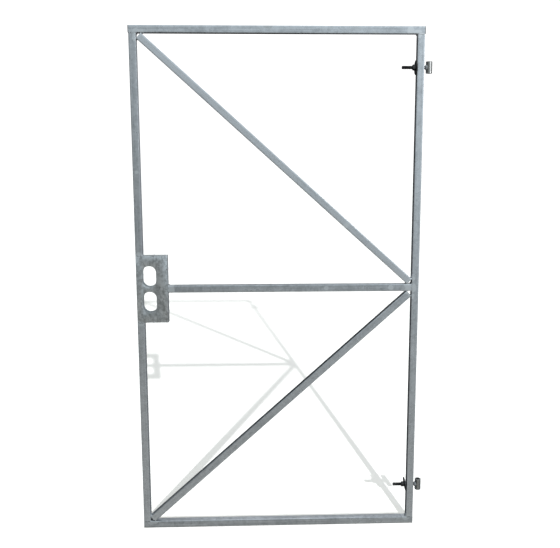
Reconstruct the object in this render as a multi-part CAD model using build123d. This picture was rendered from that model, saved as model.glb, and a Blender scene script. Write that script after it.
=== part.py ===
from build123d import *
import math
import os

# Steel garden gate: a welded frame of square tube with a middle rail, two diagonal
# braces and a lock case, hung on two adjustable eye bolts.
#
# Millimetres. Z is up and runs along the hinge axis, X runs from the latch edge to the
# hinge edge, and -Y is the front. The origin is the centre of the lower hinge eye's
# bottom rim, so the gate itself lies on the -X side.

# --- Gate frame -----------------------------------------------------------------------
gate_width = 1000.0  # over the outer faces of the two stiles
gate_height = 1800.0  # over the outer faces of the two rails
tube_side = 25.0  # square tube, outside
tube_wall = 2.0
tube_corner = 2.5  # outer corner radius of the tube section
least_corner = 0.1  # smallest corner radius of a bore
middle_rail_height = 900.0  # centre of the middle rail above the bottom of the gate

# --- Ends of the rails ----------------------------------------------------------------
cap_flange = 2.0  # plate of the push-in cap on the end of the top rail
cap_plug_length = 12.0
cap_plug_wall = 1.6
cap_plug_clearance = 0.1  # each side, between the plug and the bore of the tube
end_plate_thickness = 2.0  # plate set flush into the end of the bottom rail

# --- Lock case ------------------------------------------------------------------------
case_width = 110.0
case_height = 240.0
case_centre_height = 900.0  # above the bottom of the gate
case_sheet = 2.0
slot_width = 48.0
slot_height = 74.0
slot_corner = 23.0
slot_setback = 46.0  # from the outer edge of the gate to the centre of the slots
slot_spacing = 92.0  # from the handle slot to the cylinder slot
forend_opening_width = 16.0
forend_opening_height = 165.0
forend_opening_corner = 3.0
forend_hole_spacing = 190.0
forend_hole_diameter = 4.2  # tapping size for M5

# --- Hinges ---------------------------------------------------------------------------
lower_hinge_height = 150.0  # centre of the eye bolt above the bottom of the gate
upper_hinge_drop = 135.0  # centre of the eye bolt below the top of the gate
hinge_axis_gap = 18.5  # from the outer face of the hinge stile to the hinge axis
eye_diameter = 22.0
eye_bore = 13.0
eye_height = 40.0
eye_chamfer = 0.6
rod_diameter = 12.0  # M12
rod_tail = 75.0  # from the outer face of the hinge stile to the tail of the eye bolt
rod_chamfer = 1.2
rod_hole = 13.0  # hole through the stile for the eye bolt
neck_leg = 3.2  # leg of the weld between the eye and its rod
nut_flats = 18.0
nut_height = 10.8
nut_face_share = 0.95  # diameter of the nut's bearing face, as a share of its flats
nut_chamfer_angle = 30.0  # degrees, between the corner chamfer and the nut's face
cut_margin = 1.0  # how far the thread's cutter runs past each face of the nut
nut_thread_clearance = 0.05  # radial, between the nut and the thread
washer_diameter = 50.0
washer_thickness = 3.0
washer_bore = 13.0
lower_washer_tilt = 8.0  # degrees; the loose lower washer leans off the stile at its top
leaning_clearance = 0.05  # between the leaning washer and its nut

# --- Welds ----------------------------------------------------------------------------
fillet_radius = 4.0  # round weld in the inner corner between two tubes
brace_weld_radius = 5.5  # round weld along each corner of a brace's end
seam_width = 5.0  # low weld across the face of a butt joint
seam_height = 0.6

# --- Places that follow from the sizes ------------------------------------------------
half_side = tube_side / 2
tube_bore = tube_side - 2 * tube_wall
bore_corner = max(tube_corner - tube_wall, least_corner)
flat_width = tube_side - 2 * tube_corner
stile_outer_x = -hinge_axis_gap
stile_inner_x = stile_outer_x - tube_side
latch_outer_x = stile_outer_x - gate_width
latch_inner_x = latch_outer_x + tube_side
gate_bottom_z = eye_height / 2 - lower_hinge_height
gate_top_z = gate_bottom_z + gate_height
top_rail_z = gate_top_z - half_side
bottom_rail_z = gate_bottom_z + half_side
top_opening_z = gate_top_z - tube_side
bottom_opening_z = gate_bottom_z + tube_side
middle_rail_z = gate_bottom_z + middle_rail_height
case_z = gate_bottom_z + case_centre_height
case_top_z = case_z + case_height / 2
case_bottom_z = case_z - case_height / 2
case_inner_x = latch_outer_x + case_width
case_half_bore = half_side - case_sheet
case_bore_corner = max(tube_corner - case_sheet, least_corner)
eye_radius = eye_diameter / 2
rod_radius = rod_diameter / 2
rod_tail_x = stile_outer_x - rod_tail


def place_tube(start, end, side, corner):
    """Returns a solid square bar from start to end, with two faces square to Y."""
    run = Vector(end) - Vector(start)
    section_plane = Plane(origin=start, x_dir=(0, 1, 0), z_dir=run)
    section = RectangleRounded(side, side, corner)
    return extrude(section_plane * section, amount=run.length)


def stock_bar(start, end):
    """Returns the outline of a tube, without its bore."""
    return place_tube(start, end, tube_side, tube_corner)


def hollow(bar, start, end):
    """Returns the tube whose outline is bar."""
    return bar - place_tube(start, end, tube_bore, bore_corner)


def round_bar(start, direction, radius, length):
    """Returns a cylinder that starts at a point and runs along a direction."""
    plane = Plane(origin=start, z_dir=direction)
    return extrude(plane * Circle(radius), amount=length)


def brace_ends(left_x, right_x, bottom_z, top_z, rises):
    """Returns the middle of each end of a square-cut brace between opposite corners.

    The brace is the largest rectangle of its own width that stands across the opening,
    so both corners of each end touch a tube. Its angle a satisfies
    tan a = (height - side * cos a) / (width - side * sin a).
    """
    width = right_x - left_x
    height = top_z - bottom_z
    angle = math.atan2(height, width)
    for _ in range(60):
        rise = height - tube_side * math.cos(angle)
        run = width - tube_side * math.sin(angle)
        angle = math.atan2(rise, run)
    side_x = half_side * math.sin(angle)
    side_z = half_side * math.cos(angle)
    if rises:
        return (left_x + side_x, 0, bottom_z + side_z), (right_x - side_x, 0, top_z - side_z)
    return (left_x + side_x, 0, top_z - side_z), (right_x - side_x, 0, bottom_z + side_z)


def brace_corners(ends, rises):
    """Returns the four points, on the tubes around a brace, that its corners touch."""
    (left_x, _, left_z), (right_x, _, right_z) = ends
    angle = math.atan2(abs(right_z - left_z), right_x - left_x)
    side_x = half_side * math.sin(angle)
    side_z = half_side * math.cos(angle)
    turn = 1 if rises else -1
    return [
        (left_x - side_x, left_z + turn * side_z),
        (left_x + side_x, left_z - turn * side_z),
        (right_x - side_x, right_z + turn * side_z),
        (right_x + side_x, right_z - turn * side_z),
    ]


def line_weld(x, z, radius, members):
    """Returns the weld along a line parallel to Y: a round bar less what it joins."""
    bead = round_bar((x, -flat_width / 2, z), (0, 1, 0), radius, flat_width)
    for member in members:
        bead = bead - member
    return bead.solids()


def face_weld(centre_x, centre_z, direction, members):
    """Returns the low welds across a butt joint, one on the front and one on the back."""
    radius = (seam_width**2 / 4 + seam_height**2) / (2 * seam_height)
    depth = half_side - radius + seam_height
    beads = []
    for side in (-1, 1):
        middle = Vector(centre_x, side * depth, centre_z)
        start = middle - Vector(direction) * (flat_width / 2)
        bead = round_bar(start, direction, radius, flat_width)
        for member in members:
            bead = bead - member
        beads += bead.solids()
    return beads


# --- Outlines of everything that is welded together -----------------------------------
tube_runs = {
    "top_rail": ((latch_outer_x, 0, top_rail_z), (stile_outer_x, 0, top_rail_z)),
    "bottom_rail": ((latch_outer_x, 0, bottom_rail_z), (stile_outer_x, 0, bottom_rail_z)),
    "hinge_stile": (
        (stile_outer_x - half_side, 0, bottom_opening_z),
        (stile_outer_x - half_side, 0, top_opening_z),
    ),
    "latch_stile_upper": (
        (latch_outer_x + half_side, 0, case_top_z),
        (latch_outer_x + half_side, 0, top_opening_z),
    ),
    "latch_stile_lower": (
        (latch_outer_x + half_side, 0, bottom_opening_z),
        (latch_outer_x + half_side, 0, case_bottom_z),
    ),
    "middle_rail": ((case_inner_x, 0, middle_rail_z), (stile_inner_x, 0, middle_rail_z)),
    "upper_brace": brace_ends(
        latch_inner_x, stile_inner_x, middle_rail_z + half_side, top_opening_z, rises=False
    ),
    "lower_brace": brace_ends(
        latch_inner_x, stile_inner_x, bottom_opening_z, middle_rail_z - half_side, rises=True
    ),
}
bars = {name: stock_bar(*run) for name, run in tube_runs.items()}

case_section = Rectangle(case_width, tube_side, align=(Align.MIN, Align.CENTER))
case_section = fillet(case_section.vertices().group_by(Axis.X)[0], tube_corner)
case_floor = Plane(origin=(latch_outer_x, 0, case_bottom_z))
case_block = extrude(case_floor * case_section, amount=case_height)

# --- Frame tubes ----------------------------------------------------------------------
nodes = {name: hollow(bars[name], *run) for name, run in tube_runs.items()}

hinge_heights = {
    "upper_hinge": gate_top_z - upper_hinge_drop,
    "lower_hinge": gate_bottom_z + lower_hinge_height,
}
for rod_z in hinge_heights.values():
    rod_opening = round_bar((0, 0, rod_z), (-1, 0, 0), rod_hole / 2, hinge_axis_gap + 2 * tube_side)
    nodes["hinge_stile"] -= rod_opening

# --- Push-in caps on the top rail -----------------------------------------------------
plug_side = tube_bore - 2 * cap_plug_clearance
for end_name, end_x, inward in (("latch", latch_outer_x, 1), ("hinge", stile_outer_x, -1)):
    flange_face = (end_x - inward * cap_flange, 0, top_rail_z)
    seat = (end_x, 0, top_rail_z)
    plug_end = (end_x + inward * cap_plug_length, 0, top_rail_z)
    cap = place_tube(flange_face, seat, tube_side, tube_corner)
    cap = cap + place_tube(seat, plug_end, plug_side, bore_corner)
    cap = cap - place_tube(seat, plug_end, plug_side - 2 * cap_plug_wall, bore_corner)
    nodes[f"top_rail_{end_name}_cap"] = cap

# --- Plates in the ends of the bottom rail --------------------------------------------
end_plates = []
for end_x, inward in ((latch_outer_x, 1), (stile_outer_x, -1)):
    plate_start = (end_x, 0, bottom_rail_z)
    plate_end = (end_x + inward * end_plate_thickness, 0, bottom_rail_z)
    end_plates.append(place_tube(plate_start, plate_end, tube_bore, bore_corner))
nodes["bottom_rail_end_plates"] = Compound(children=end_plates)

# --- Lock case ------------------------------------------------------------------------
pocket_depth = case_width - case_sheet
pocket_section = Rectangle(pocket_depth, 2 * case_half_bore, align=(Align.MIN, Align.CENTER))
pocket_section = fillet(pocket_section.vertices().group_by(Axis.X)[0], case_bore_corner)
pocket_floor = Plane(origin=(latch_outer_x + case_sheet, 0, case_bottom_z))
pocket = extrude(pocket_floor * pocket_section, amount=case_height)

slots = []
for slot_side in (-1, 1):
    slot_place = Plane(
        origin=(latch_outer_x + slot_setback, 0, case_z + slot_side * slot_spacing / 2),
        x_dir=(1, 0, 0),
        z_dir=(0, -1, 0),
    )
    slot_outline = slot_place * RectangleRounded(slot_width, slot_height, slot_corner)
    slots.append(extrude(slot_outline, amount=tube_side, both=True))

forend_place = Plane(origin=(latch_outer_x, 0, case_z), x_dir=(0, 1, 0), z_dir=(1, 0, 0))
forend_outline = RectangleRounded(
    forend_opening_width, forend_opening_height, forend_opening_corner
)
forend_opening = extrude(forend_place * forend_outline, amount=2 * case_sheet, both=True)

case_shell = case_block - pocket - forend_opening
for slot in slots:
    case_shell -= slot
for screw_side in (-1, 1):
    screw_z = case_z + screw_side * forend_hole_spacing / 2
    screw_start = (latch_outer_x - case_sheet, 0, screw_z)
    case_shell -= round_bar(screw_start, (1, 0, 0), forend_hole_diameter / 2, 3 * case_sheet)
nodes["lock_case_shell"] = case_shell

top_strip_floor = Plane(origin=(latch_outer_x + case_sheet, 0, case_top_z - case_sheet))
nodes["lock_case_top_strip"] = extrude(top_strip_floor * pocket_section, amount=case_sheet)
bottom_strip_floor = Plane(origin=(latch_outer_x + case_sheet, 0, case_bottom_z))
nodes["lock_case_bottom_strip"] = extrude(bottom_strip_floor * pocket_section, amount=case_sheet)
inner_strip = Box(
    case_sheet,
    2 * case_half_bore,
    case_height - 2 * case_sheet,
    align=(Align.MAX, Align.CENTER, Align.CENTER),
)
nodes["lock_case_inner_strip"] = Pos(case_inner_x, 0, case_z) * inner_strip

# --- Welds ----------------------------------------------------------------------------
along_x = (1, 0, 0)
along_z = (0, 0, 1)
latch_stile_x = latch_outer_x + half_side
hinge_stile_x = stile_outer_x - half_side

top_members = [bars["top_rail"], bars["hinge_stile"], bars["latch_stile_upper"]]
top_welds = []
bottom_members = [bars["bottom_rail"], bars["hinge_stile"], bars["latch_stile_lower"]]
bottom_welds = []
for inner_x, centre_x in ((latch_inner_x, latch_stile_x), (stile_inner_x, hinge_stile_x)):
    top_welds += line_weld(inner_x, top_opening_z, fillet_radius, top_members)
    top_welds += face_weld(centre_x, top_opening_z, along_x, top_members)
    bottom_welds += line_weld(inner_x, bottom_opening_z, fillet_radius, bottom_members)
    bottom_welds += face_weld(centre_x, bottom_opening_z, along_x, bottom_members)

rail_members = [bars["middle_rail"], bars["hinge_stile"], case_block]
rail_members += [bars["upper_brace"], bars["lower_brace"]]
rail_welds = []
for end_x in (case_inner_x, stile_inner_x):
    for rail_side in (-1, 1):
        face_z = middle_rail_z + rail_side * half_side
        rail_welds += line_weld(end_x, face_z, fillet_radius, rail_members)
    rail_welds += face_weld(end_x, middle_rail_z, along_z, rail_members)

case_members = [case_block, bars["latch_stile_upper"], bars["latch_stile_lower"]]
case_welds = []
for face_z in (case_top_z, case_bottom_z):
    case_welds += line_weld(latch_inner_x, face_z, fillet_radius, case_members)
    case_welds += face_weld(latch_stile_x, face_z, along_x, case_members)

# Each corner of a brace's end is welded to the tube that it touches.
brace_welds = {"upper_brace": [], "lower_brace": []}
for brace_name, rises in (("upper_brace", False), ("lower_brace", True)):
    around = [bars[brace_name], bars["top_rail"], bars["bottom_rail"], bars["middle_rail"]]
    around += [bars["hinge_stile"], bars["latch_stile_upper"], bars["latch_stile_lower"]]
    for corner_x, corner_z in brace_corners(tube_runs[brace_name], rises):
        brace_welds[brace_name] += line_weld(corner_x, corner_z, brace_weld_radius, around)

nodes["top_corner_welds"] = Compound(children=top_welds)
nodes["bottom_corner_welds"] = Compound(children=bottom_welds)
nodes["middle_rail_welds"] = Compound(children=rail_welds)
nodes["lock_case_welds"] = Compound(children=case_welds)
nodes["upper_brace_welds"] = Compound(children=brace_welds["upper_brace"])
nodes["lower_brace_welds"] = Compound(children=brace_welds["lower_brace"])


# --- Adjustable eye-bolt hinges -------------------------------------------------------
def make_nut(start_x, rod_z):
    """Returns a hexagon nut with chamfered corners; start_x is its face by the washer."""
    corner_radius = nut_flats / math.sqrt(3)
    face_radius = nut_face_share * nut_flats / 2
    chamfer_depth = (corner_radius - face_radius) * math.tan(math.radians(nut_chamfer_angle))
    axis_plane = Plane(origin=(start_x, 0, rod_z), x_dir=(0, 0, 1), z_dir=(-1, 0, 0))
    hexagon = RegularPolygon(nut_flats / 2, 6, major_radius=False)
    bar = extrude(axis_plane * hexagon, amount=nut_height)
    waist = nut_height - 2 * chamfer_depth
    turned = Cylinder(corner_radius, waist)
    for end in (-1, 1):
        bevel = Cone(corner_radius, face_radius, chamfer_depth)
        upright = bevel if end > 0 else Rot(180, 0, 0) * bevel
        turned += Pos(0, 0, end * (waist + chamfer_depth) / 2) * upright
    turned = axis_plane * Pos(0, 0, nut_height / 2) * turned
    thread_radius = rod_radius + nut_thread_clearance
    thread = round_bar(
        (start_x + cut_margin, 0, rod_z), (-1, 0, 0), thread_radius, nut_height + 2 * cut_margin
    )
    return (bar & turned) - thread


def washer_reach(tilt):
    """Returns how far a washer's centre and its nut's near face stand off the stile."""
    angle = math.radians(tilt)
    centre = washer_diameter / 2 * math.sin(angle) + washer_thickness / 2 * math.cos(angle)
    nut_edge = nut_face_share * nut_flats / 2
    rise = nut_edge * math.tan(angle) + washer_thickness / 2 / math.cos(angle)
    gap = leaning_clearance if tilt else 0.0
    return centre, centre + rise + gap


for hinge_name, rod_z in hinge_heights.items():
    tilt = lower_washer_tilt if hinge_name == "lower_hinge" else 0.0
    washer_offset, nut_offset = washer_reach(tilt)

    eye_bottom = rod_z - eye_height / 2
    eye_block = round_bar((0, 0, eye_bottom), along_z, eye_radius, eye_height)
    eye = eye_block - round_bar((0, 0, eye_bottom), along_z, eye_bore / 2, eye_height)
    outer_rims = eye.edges().filter_by(GeomType.CIRCLE).group_by(SortBy.RADIUS)[-1]
    eye = chamfer(outer_rims, eye_chamfer)

    rod = round_bar((rod_tail_x, 0, rod_z), along_x, rod_radius, -rod_tail_x)
    rod = chamfer(rod.edges().filter_by(GeomType.CIRCLE).sort_by(Axis.X)[0], rod_chamfer)
    rod = (rod - eye_block).solids().sort_by(Axis.X)[0]

    collar_radius = rod_radius + neck_leg
    collar = round_bar((0, 0, rod_z), (-1, 0, 0), collar_radius, eye_radius)
    bevel_plane = Plane(origin=(-eye_radius - neck_leg / 2, 0, rod_z), z_dir=(-1, 0, 0))
    collar = collar + bevel_plane * Cone(collar_radius, rod_radius, neck_leg)
    rod_core = round_bar((rod_tail_x, 0, rod_z), along_x, rod_radius, -rod_tail_x)
    neck = collar - rod_core - eye_block

    washer = Cylinder(washer_diameter / 2, washer_thickness)
    washer = washer - Cylinder(washer_bore / 2, washer_thickness)
    washer = Pos(stile_inner_x - washer_offset, 0, rod_z) * Rot(0, 90 - tilt, 0) * washer

    nodes[f"{hinge_name}_eye"] = eye
    nodes[f"{hinge_name}_rod"] = rod
    nodes[f"{hinge_name}_neck_weld"] = neck.solids().sort_by(Axis.X)[0]
    nodes[f"{hinge_name}_washer"] = washer
    nodes[f"{hinge_name}_nut"] = make_nut(stile_inner_x - nut_offset, rod_z)

# --- Files ----------------------------------------------------------------------------
os.makedirs("parts", exist_ok=True)
for node_name, shape in nodes.items():
    export_step(shape, f"parts/{node_name}.step")
print(f"{len(nodes)} nodes written")
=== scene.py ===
"""Surfaces and finishes of a welded steel garden gate on two adjustable eye bolts."""

import math

import bmesh
import bpy
import numpy as np
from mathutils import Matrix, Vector


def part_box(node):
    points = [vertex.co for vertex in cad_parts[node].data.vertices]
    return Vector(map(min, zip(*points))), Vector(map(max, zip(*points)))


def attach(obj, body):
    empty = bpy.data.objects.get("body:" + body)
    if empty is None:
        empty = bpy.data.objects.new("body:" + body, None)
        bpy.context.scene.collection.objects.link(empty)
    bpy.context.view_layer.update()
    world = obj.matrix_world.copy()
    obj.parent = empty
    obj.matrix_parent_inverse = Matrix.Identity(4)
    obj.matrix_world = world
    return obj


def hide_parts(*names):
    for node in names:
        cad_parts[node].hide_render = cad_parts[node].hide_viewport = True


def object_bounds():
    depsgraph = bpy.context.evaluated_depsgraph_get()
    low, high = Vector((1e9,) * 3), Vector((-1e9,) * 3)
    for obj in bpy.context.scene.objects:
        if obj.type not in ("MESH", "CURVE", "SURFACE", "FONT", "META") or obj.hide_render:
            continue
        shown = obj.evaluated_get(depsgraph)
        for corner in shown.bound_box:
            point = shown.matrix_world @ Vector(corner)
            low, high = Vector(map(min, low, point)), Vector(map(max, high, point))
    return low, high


bl_info = {
    "name": "Garden gate",
    "version": (1, 0, 0),
    "blender": (4, 5, 0),
    "location": "3D View > Sidebar > Gate",
    "description": "Builds the zinc-coated tubes, lock case, welds and hinges of a garden gate",
    "category": "Object",
}

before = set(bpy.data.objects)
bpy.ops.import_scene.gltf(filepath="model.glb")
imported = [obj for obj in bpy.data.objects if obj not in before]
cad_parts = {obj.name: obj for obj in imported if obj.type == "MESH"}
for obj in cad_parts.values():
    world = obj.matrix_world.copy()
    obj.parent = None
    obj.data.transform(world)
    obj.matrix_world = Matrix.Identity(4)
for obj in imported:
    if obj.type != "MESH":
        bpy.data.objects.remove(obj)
cad_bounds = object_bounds()


# --- Places taken from the frame ------------------------------------------------------
def node_box(node):
    """Returns the lowest and highest corners of a frame node as two arrays."""
    low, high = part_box(node)
    return np.array(low, float), np.array(high, float)


top_rail_low, top_rail_high = node_box("top_rail")
middle_rail_low, middle_rail_high = node_box("middle_rail")
case_low, case_high = node_box("lock_case_shell")
TUBE_SIDE = float(top_rail_high[2] - top_rail_low[2])
LATCH_FACE_X = float(node_box("latch_stile_upper")[1][0])
HINGE_FACE_X = float(node_box("hinge_stile")[0][0])
LATCH_STILE_X = LATCH_FACE_X - TUBE_SIDE / 2
HINGE_STILE_X = HINGE_FACE_X + TUBE_SIDE / 2
TOP_OPENING_Z = float(top_rail_low[2])
BOTTOM_OPENING_Z = float(node_box("bottom_rail")[1][2])
MIDDLE_RAIL_Z = float(middle_rail_low[2] + middle_rail_high[2]) / 2
FLOOR_Z = float(cad_bounds[0][2])
GATE_MIDDLE = Vector((-0.5, 0.0, 0.75))

HINGES = ("upper", "lower")
BRACES = ("upper_brace", "lower_brace")
TUBES = ["top_rail", "bottom_rail", "hinge_stile", "latch_stile_upper"]
TUBES += ["latch_stile_lower", "middle_rail", *BRACES]

# Fixed sizes, in metres.
ROD_HOLE_RADIUS = 0.0065
ROD_IN_EYE = 0.0006
END_PLATE = 0.002
FLOOR_REACH = 40.0

# Beads: points along one, the case beads' size, and the narrowest gap that is filled.
BEAD_STATIONS = 61
CASE_BEAD_SHARE = 0.6
NARROW_GAP = 0.2
SHARP_EDGE = math.radians(38)

# Tack welds of the lock case: in from its inner edge, down from its top, up from its foot.
CASE_TACKS = (
    (0.002, 0.049, None),
    (0.002, None, 0.038),
    (0.047, 0.0018, None),
    (0.052, None, 0.0018),
)

# Other spots brushed with cold zinc: along X from the hinge stile's inner face, up from
# the middle rail, and how far each one reaches, as a share.
RUBBED_SPOTS = ((-0.075, 0.0, 0.7), (-0.305, 0.0, 0.6), (-0.235, 0.224, 0.7))

# Lamps: size, colour and place. The sun shines along its aim.
PANELS = {
    "key": ((1.6, 2.2), (0.96, 0.98, 1.0), (2.6, -2.3, 2.3)),
    "fill": ((2.4, 1.4), (0.97, 0.985, 1.0), (-0.9, 3.0, 3.2)),
}
SUN_AIM = Vector((-0.159, 0.895, -0.416))
SUN_SPREAD = math.radians(0.8)
SKY_STRENGTH = 1.2

# The tubes come from different lengths of stock, and some are lighter than the others.
STOCK_TONES = {
    "upper_brace": 0.44,
    "lower_brace": 0.18,
    "latch_stile_lower": 0.24,
    "hinge_stile": 0.18,
    "top_rail": 0.10,
    "latch_stile_upper": 0.05,
}


# --- Settings -------------------------------------------------------------------------
def number(name, description, default, least=0.0, **kind):
    """Returns a setting for one number."""
    return bpy.props.FloatProperty(
        name=name, description=description, default=default, min=least, **kind
    )


def length(name, description, default, least=0.0):
    """Returns a setting for a length in metres."""
    return number(name, description, default, least, unit="LENGTH")


def numbers(name, description, default, **kind):
    """Returns a setting for two or three numbers that belong together."""
    return bpy.props.FloatVectorProperty(
        name=name, description=description, default=default, **kind
    )


def tint(name, description, default):
    """Returns a setting for a colour without alpha."""
    return numbers(name, description, default, subtype="COLOR", min=0.0, max=1.0)


class GateTubeSettings(bpy.types.PropertyGroup):
    """Sizes of the square tube and its zinc coat."""

    corner: length("Corner radius", "Outer corner radius of the tube", 0.0016, 0.0005)
    wall: length("Wall", "Wall thickness of the tube", 0.002, 0.0005)
    station: length("Station spacing", "Distance between two rings of points", 0.004, 0.001)
    end_bevel: length("End bevel", "Bevel around the cut ends of a tube", 0.0003)
    zinc_runs: length("Zinc runs", "Depth of the slow waves in the zinc coat", 0.00012)
    touch_up_reach: length("Touch-up reach", "How far cold zinc was brushed from a weld", 0.020)


class GateCaseSettings(bpy.types.PropertyGroup):
    """Sizes of the lock case and of the caps on the rails."""

    sheet_edge: length("Sheet edge", "Rounding of the sheet's cut edges", 0.00035)
    tack_radius: length("Tack radius", "Radius of the case's small tack welds", 0.003, 0.001)
    cap_edge: length("Cap edge", "Rounding of the plastic caps' outer edge", 0.0007)
    cap_crown: length("Cap crown", "How far the middle of a cap stands out", 0.0004)


class GateWeldSettings(bpy.types.PropertyGroup):
    """Sizes of the weld beads."""

    fillet_radius: length("Corner bead", "Radius of a bead in an inner corner", 0.0042, 0.001)
    brace_radius: length("Brace bead", "Radius of a bead at a brace's end", 0.0042, 0.001)
    seam_width: length("Seam width", "Width of the bead across a butt joint", 0.0055, 0.001)
    seam_height: length("Seam height", "Height of the bead across a butt joint", 0.0005, 0.0001)
    ripple_pitch: length("Ripple pitch", "Distance between two ripples", 0.0021, 0.0005)
    ripple_share: number(
        "Ripple depth", "Ripples as a share of the bead", 0.07, max=0.5, subtype="FACTOR"
    )


class GateHingeSettings(bpy.types.PropertyGroup):
    """Sizes of the eye bolts, nuts and washers."""

    thread_pitch: length("Thread pitch", "Advance of the thread in one turn", 0.00175, 0.0005)
    thread_depth: length("Thread depth", "Depth of the rod's thread", 0.00107, 0.0001)
    plain_shank: length("Plain shank", "Length without thread next to the eye", 0.006)
    eye_bore: length("Eye bore", "Diameter of the bore for the hinge pin", 0.013, 0.001)
    washer_bore: length("Washer bore", "Diameter of the hole in a washer", 0.013, 0.001)
    washer_thickness: length("Washer thickness", "Thickness of a washer", 0.003, 0.0005)
    nut_bore: length("Nut bore", "Diameter of the hole in a nut", 0.0121, 0.001)
    weld_leg: length("Neck weld leg", "Leg of the weld between eye and rod", 0.0032, 0.0005)


class GateFinishSettings(bpy.types.PropertyGroup):
    """Colours of the finishes."""

    zinc_bright: tint("Bright zinc", "Lightest tone of the zinc coat", (0.62, 0.64, 0.67))
    zinc_dull: tint("Dull zinc", "Darkest tone of the zinc coat", (0.27, 0.285, 0.30))
    zinc_bloom: tint("Zinc bloom", "Chalky bloom on the zinc coat", (0.50, 0.51, 0.50))
    cold_zinc: tint("Cold zinc", "Brushed-on zinc over the welds", (0.66, 0.68, 0.70))
    sheet_bright: tint("Bright sheet", "Lightest tone of the lock case", (0.62, 0.64, 0.66))
    sheet_dull: tint("Dull sheet", "Darkest tone of the lock case", (0.29, 0.30, 0.30))
    bead: tint("Weld bead", "Zinc over the weld beads", (0.54, 0.56, 0.58))
    # The dark bead colour is partly weld soot and partly painted shade of the inner corners where
    # the beads sit.
    bead_soot_and_shade: tint("Weld soot", "Dark skin in a bead's ripples", (0.17, 0.165, 0.16))
    bead_scorch: tint("Weld scorch", "Warm brown stain on the beads", (0.36, 0.27, 0.17))
    eye: tint("Eye steel", "Turned steel of the hinge eyes", (0.44, 0.44, 0.43))
    eye_oil: tint("Eye oil", "Oil spots on the hinge eyes", (0.16, 0.14, 0.12))
    # The fasteners' near-black colour is partly dark oxide and partly painted shade, standing in
    # for the shadow the hinge stile casts on them.
    fastener_with_shade: tint("Fastener steel", "Dark nuts, rods and washers", (0.055, 0.055, 0.06))
    fastener_worn: tint("Worn fastener", "Rubbed edges of the fasteners", (0.19, 0.185, 0.18))
    rust: tint("Rust dust", "Rust on the fasteners", (0.13, 0.065, 0.035))
    plastic: tint("Cap plastic", "Plastic caps on the top rail", (0.014, 0.014, 0.016))
    plastic_scuff: tint("Cap scuff", "Scuffed plastic", (0.07, 0.07, 0.075))


class GateStageSettings(bpy.types.PropertyGroup):
    """Camera, floor and light."""

    camera_place: numbers(
        "Camera place",
        "Where the camera stands",
        (-0.5645, -2.4147, 1.2603),
        subtype="TRANSLATION",
        unit="LENGTH",
    )
    camera_turn: numbers(
        "Camera turn",
        "How the camera is turned",
        (math.radians(81.764), math.radians(0.058), math.radians(-1.883)),
        subtype="EULER",
        unit="ROTATION",
    )
    lens: number("Lens", "Focal length in millimetres", 44.41, 1.0)
    shift: numbers("Lens shift", "Sideways and upward shift", (-0.0136, -0.0452), size=2)
    key_power: number("Key lamp", "Power of the large lamp on the right", 42.0, unit="POWER")
    fill_power: number("Fill lamp", "Power of the lamp behind the gate", 9.0, unit="POWER")
    sun_strength: number("Sun", "Strength of the sun that draws the floor shadow", 5.0)
    floor_glow: number("Floor glow", "Light given off by the floor itself", 0.17)
    sky_bright: tint("Bright sky", "Light from the upper right", (0.81, 0.92, 0.98))
    sky_low: tint("Low sky", "Light from the lower left", (0.245, 0.257, 0.252))
    sky_floor: tint("Floor light", "Light from the pale floor", (0.43, 0.44, 0.425))
    sky_glow: tint("Rear light", "Light from behind on the right", (0.375, 0.398, 0.418))
    sky_side: tint("Side shade", "Dimmer side on the far right", (0.26, 0.275, 0.285))
    sky_rear: tint("Rear shade", "Dark side behind the gate", (0.004, 0.005, 0.006))


SETTINGS = {
    "gate_tubes": GateTubeSettings,
    "gate_case": GateCaseSettings,
    "gate_welds": GateWeldSettings,
    "gate_hinges": GateHingeSettings,
    "gate_finish": GateFinishSettings,
    "gate_stage": GateStageSettings,
}


# --- Closed surfaces ------------------------------------------------------------------
def skin(rings, wrap):
    """Returns one closed surface over rings of points: points, quads and triangles.

    Two neighbours on a ring and the same two on the next ring make a quad. When wrap is
    true the last ring joins the first one, and otherwise each end closes on its middle
    point. A surface whose signed volume is negative is turned inside out.
    """
    rows, columns = rings.shape[:2]
    points = rings.reshape(-1, 3)
    row = np.arange(rows if wrap else rows - 1)[:, None]
    column = np.arange(columns)[None, :]
    beside = (column + 1) % columns
    below = (row + 1) % rows
    corners = [row * columns + column, row * columns + beside]
    corners += [below * columns + beside, below * columns + column]
    quads = np.stack(corners, axis=-1).reshape(-1, 4)
    triangles = np.empty((0, 3), int)
    if not wrap:
        points = np.vstack([points, rings[0].mean(axis=0), rings[-1].mean(axis=0)])
        here, there = column[0], beside[0]
        first = np.full(columns, rows * columns)
        end = (rows - 1) * columns
        start_fan = np.stack([first, there, here], axis=-1)
        end_fan = np.stack([first + 1, end + here, end + there], axis=-1)
        triangles = np.vstack([start_fan, end_fan])
    halves = np.vstack([quads[:, [0, 1, 2]], quads[:, [0, 2, 3]], triangles])
    a, b, c = (points[halves[:, k]] for k in range(3))
    if np.einsum("ij,ij->", a, np.cross(b, c)) < 0:
        quads, triangles = quads[:, ::-1], triangles[:, ::-1]
    return points, quads, triangles


def soften(mesh):
    """Gives a mesh smooth faces and keeps its sharp edges."""
    mesh.shade_smooth()
    mesh.set_sharp_from_angle(angle=SHARP_EDGE)
    return mesh


def write_mesh(name, surfaces):
    """Returns a mesh made of closed surfaces."""
    starts = np.cumsum([0] + [len(points) for points, _, _ in surfaces])
    faces = []
    for start, (_, quads, triangles) in zip(starts, surfaces):
        faces += (quads + start).tolist() + (triangles + start).tolist()
    mesh = bpy.data.meshes.new(name)
    mesh.from_pydata(np.vstack([points for points, _, _ in surfaces]).tolist(), [], faces)
    return soften(mesh)


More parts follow.
